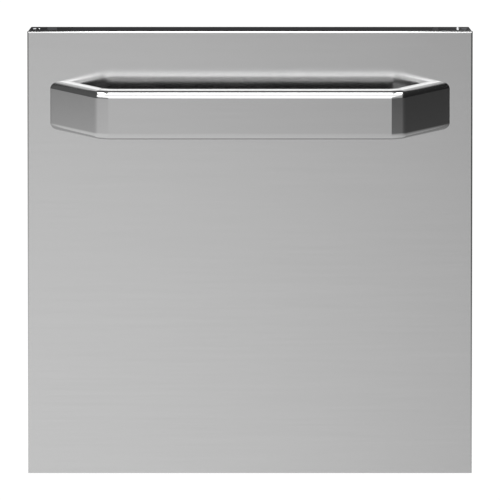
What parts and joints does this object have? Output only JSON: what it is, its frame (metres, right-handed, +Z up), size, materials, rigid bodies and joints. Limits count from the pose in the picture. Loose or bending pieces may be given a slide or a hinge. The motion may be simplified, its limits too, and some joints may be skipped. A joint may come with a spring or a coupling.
{
  "type": "built-in dishwasher",
  "caption": "Built-in dishwasher with a square steel drop-down door, chunky faceted bar handle, hidden top-edge controls, tub, wire rack, cutlery tray and spray arms.",
  "frame": {"origin": "Ground point under the middle of the whole machine, handle included, with the feet on z = 0.", "axes": "+X to the right seen from the front, +Y to the back, +Z up; the door faces -Y."},
  "size_m": [0.595, 0.554, 0.614],
  "materials": {
    "steel_panel": "fine horizontal brushing, semi-gloss",
    "handle_steel": "polished satin",
    "tub_steel": "pressed, satin",
    "zinc_steel": "galvanised",
    "fastener": "plated",
    "black_plastic": "fine-grained",
    "gloss_black": "glossy",
    "grey_plastic": "satin",
    "white_plastic": "satin",
    "blue_plastic": "satin",
    "rubber_black": "matt",
    "dark_plastic": "fine-textured moulding",
    "felt": "dense felt and bitumen",
    "coated_wire": "nylon coating on steel wire",
    "cast": "rough cast",
    "grey_paint": "powder coat"
  },
  "bodies": {
    "casing": {"base_tray": "black_plastic", "side_panel_left": "zinc_steel", "side_panel_right": "zinc_steel", "rear_panel": "zinc_steel", "top_cover": "zinc_steel", "front_frame": "grey_paint", "tub": "tub_steel", "door_seal": "rubber_black", "latch_strike": "fastener", "tray_rails": "fastener", "sump": "black_plastic", "fine_filter": "tub_steel", "circulation_pump": "grey_paint", "drain_pump": "black_plastic", "flow_heater": "fastener", "water_softener": "white_plastic", "supply_pipe": "grey_plastic", "inlet_valve": "white_plastic", "drain_spigot": "black_plastic", "power_inlet": "black_plastic", "control_box": "black_plastic", "counterweight": "cast", "hinge_brackets": "zinc_steel", "hinge_springs": "fastener"},
    "door": {"door_panel": "steel_panel", "door_handle": "handle_steel", "door_insulation": "felt", "door_liner": "tub_steel", "door_screws": "fastener", "bottom_seal": "rubber_black", "hinge_arms": "zinc_steel", "control_housing": "black_plastic", "touch_strip": "gloss_black", "display_window": "gloss_black", "detergent_dispenser": "grey_plastic"},
    "filter_cup": {"filter_cup": "grey_plastic"},
    "salt_cap": {"salt_cap": "blue_plastic"},
    "float": {"float": "white_plastic"},
    "lower_spray_arm": {"lower_spray_arm": "grey_plastic"},
    "upper_spray_arm": {"upper_spray_arm": "grey_plastic"},
    "foot_front_left": {"foot_front_left": "black_plastic"},
    "foot_front_right": {"foot_front_right": "black_plastic"},
    "foot_rear_left": {"foot_rear_left": "black_plastic"},
    "foot_rear_right": {"foot_rear_right": "black_plastic"},
    "power_button": {"power_button": "dark_plastic"},
    "start_button": {"start_button": "dark_plastic"},
    "door_latch": {"door_latch": "fastener"},
    "dispenser_lid": {"dispenser_lid": "grey_plastic"},
    "rinse_cap": {"rinse_cap": "blue_plastic"},
    "lower_rack": {"lower_rack": "coated_wire", "wheel_carriers": "coated_wire"},
    "tine_row_front": {"tine_row_front": "coated_wire"},
    "tine_row_rear": {"tine_row_rear": "coated_wire"},
    "wheel_front_left": {"wheel_front_left": "white_plastic"},
    "wheel_front_right": {"wheel_front_right": "white_plastic"},
    "wheel_rear_left": {"wheel_rear_left": "white_plastic"},
    "wheel_rear_right": {"wheel_rear_right": "white_plastic"},
    "tray_runners": {"tray_runners": "fastener"},
    "cutlery_tray": {"cutlery_tray": "coated_wire", "tray_base": "coated_wire"}
  },
  "joints": [
    {"name": "door_hinge", "type": "hinge", "parent": "casing", "child": "door", "pos_m": [0, -0.171, 0.128], "axis": [1, 0, 0], "range_deg": [0, 90], "stiffness_Nm_per_rad": 11, "deforming": ["hinge_springs"]},
    {"name": "lower_rack_slide", "type": "slide", "parent": "casing", "child": "lower_rack", "axis": [0, -1, 0], "range_m": [0, 0.2125]},
    {"name": "tray_runner_slide", "type": "slide", "parent": "casing", "child": "tray_runners", "axis": [0, -1, 0], "range_m": [0, 0.173]},
    {"name": "cutlery_tray_slide", "type": "slide", "parent": "tray_runners", "child": "cutlery_tray", "axis": [0, -1, 0], "range_m": [0, 0.173]},
    {"name": "tine_front_fold", "type": "hinge", "parent": "lower_rack", "child": "tine_row_front", "pos_m": [0, 0.009, 0.173], "axis": [-1, 0, 0], "range_deg": [0, 90]},
    {"name": "tine_rear_fold", "type": "hinge", "parent": "lower_rack", "child": "tine_row_rear", "pos_m": [0, 0.124, 0.173], "axis": [-1, 0, 0], "range_deg": [0, 90]},
    {"name": "wheel_front_left_spin", "type": "hinge", "parent": "lower_rack", "child": "wheel_front_left", "pos_m": [-0.236, 0.035, 0.14], "axis": [1, 0, 0], "continuous": true},
    {"name": "wheel_front_right_spin", "type": "hinge", "parent": "lower_rack", "child": "wheel_front_right", "pos_m": [0.236, 0.035, 0.14], "axis": [1, 0, 0], "continuous": true},
    {"name": "wheel_rear_left_spin", "type": "hinge", "parent": "lower_rack", "child": "wheel_rear_left", "pos_m": [-0.236, 0.207, 0.14], "axis": [1, 0, 0], "continuous": true},
    {"name": "wheel_rear_right_spin", "type": "hinge", "parent": "lower_rack", "child": "wheel_rear_right", "pos_m": [0.236, 0.207, 0.14], "axis": [1, 0, 0], "continuous": true},
    {"name": "lower_arm_spin", "type": "hinge", "parent": "casing", "child": "lower_spray_arm", "pos_m": [0, 0.047, 0.1415], "axis": [0, 0, 1], "continuous": true},
    {"name": "upper_arm_spin", "type": "hinge", "parent": "casing", "child": "upper_spray_arm", "pos_m": [0, 0.047, 0.4485], "axis": [0, 0, 1], "continuous": true},
    {"name": "filter_twist", "type": "hinge", "parent": "casing", "child": "filter_cup", "pos_m": [0.038, 0.047, 0.1], "axis": [0, 0, 1], "range_deg": [0, 45]},
    {"name": "salt_cap_turn", "type": "hinge", "parent": "casing", "child": "salt_cap", "pos_m": [-0.15, 0.19, 0.128], "axis": [0, 0, 1], "range_deg": [0, 360]},
    {"name": "float_lift", "type": "slide", "parent": "casing", "child": "float", "axis": [0, 0, 1], "range_m": [0, 0.008]},
    {"name": "foot_front_left_turn", "type": "hinge", "parent": "casing", "child": "foot_front_left", "pos_m": [-0.236, -0.011, 0.014], "axis": [0, 0, 1], "continuous": true},
    {"name": "foot_front_right_turn", "type": "hinge", "parent": "casing", "child": "foot_front_right", "pos_m": [0.236, -0.011, 0.014], "axis": [0, 0, 1], "continuous": true},
    {"name": "foot_rear_left_turn", "type": "hinge", "parent": "casing", "child": "foot_rear_left", "pos_m": [-0.236, 0.239, 0.014], "axis": [0, 0, 1], "continuous": true},
    {"name": "foot_rear_right_turn", "type": "hinge", "parent": "casing", "child": "foot_rear_right", "pos_m": [0.236, 0.239, 0.014], "axis": [0, 0, 1], "continuous": true},
    {"name": "power_press", "type": "slide", "parent": "door", "child": "power_button", "axis": [0, 0, -1], "range_m": [0, 0.002], "stiffness_N_per_m": 600, "springref_m": -0.001},
    {"name": "start_press", "type": "slide", "parent": "door", "child": "start_button", "axis": [0, 0, -1], "range_m": [0, 0.002], "stiffness_N_per_m": 600, "springref_m": -0.001},
    {"name": "latch_bolt", "type": "slide", "parent": "door", "child": "door_latch", "axis": [0, 0, 1], "range_m": [0, 0.006]},
    {"name": "dispenser_slide", "type": "slide", "parent": "door", "child": "dispenser_lid", "axis": [0, 0, 1], "range_m": [0, 0.046]},
    {"name": "rinse_cap_turn", "type": "hinge", "parent": "door", "child": "rinse_cap", "pos_m": [0.03, -0.176, 0.345], "axis": [0, -1, 0], "range_deg": [0, 90]}
  ],
  "couplings": [
    {"joint": "lower_rack_slide", "follows": "door_hinge", "m_per_rad": 0.135},
    {"joint": "tray_runner_slide", "follows": "door_hinge", "m_per_rad": 0.11},
    {"joint": "cutlery_tray_slide", "follows": "door_hinge", "m_per_rad": 0.11}
  ]
}
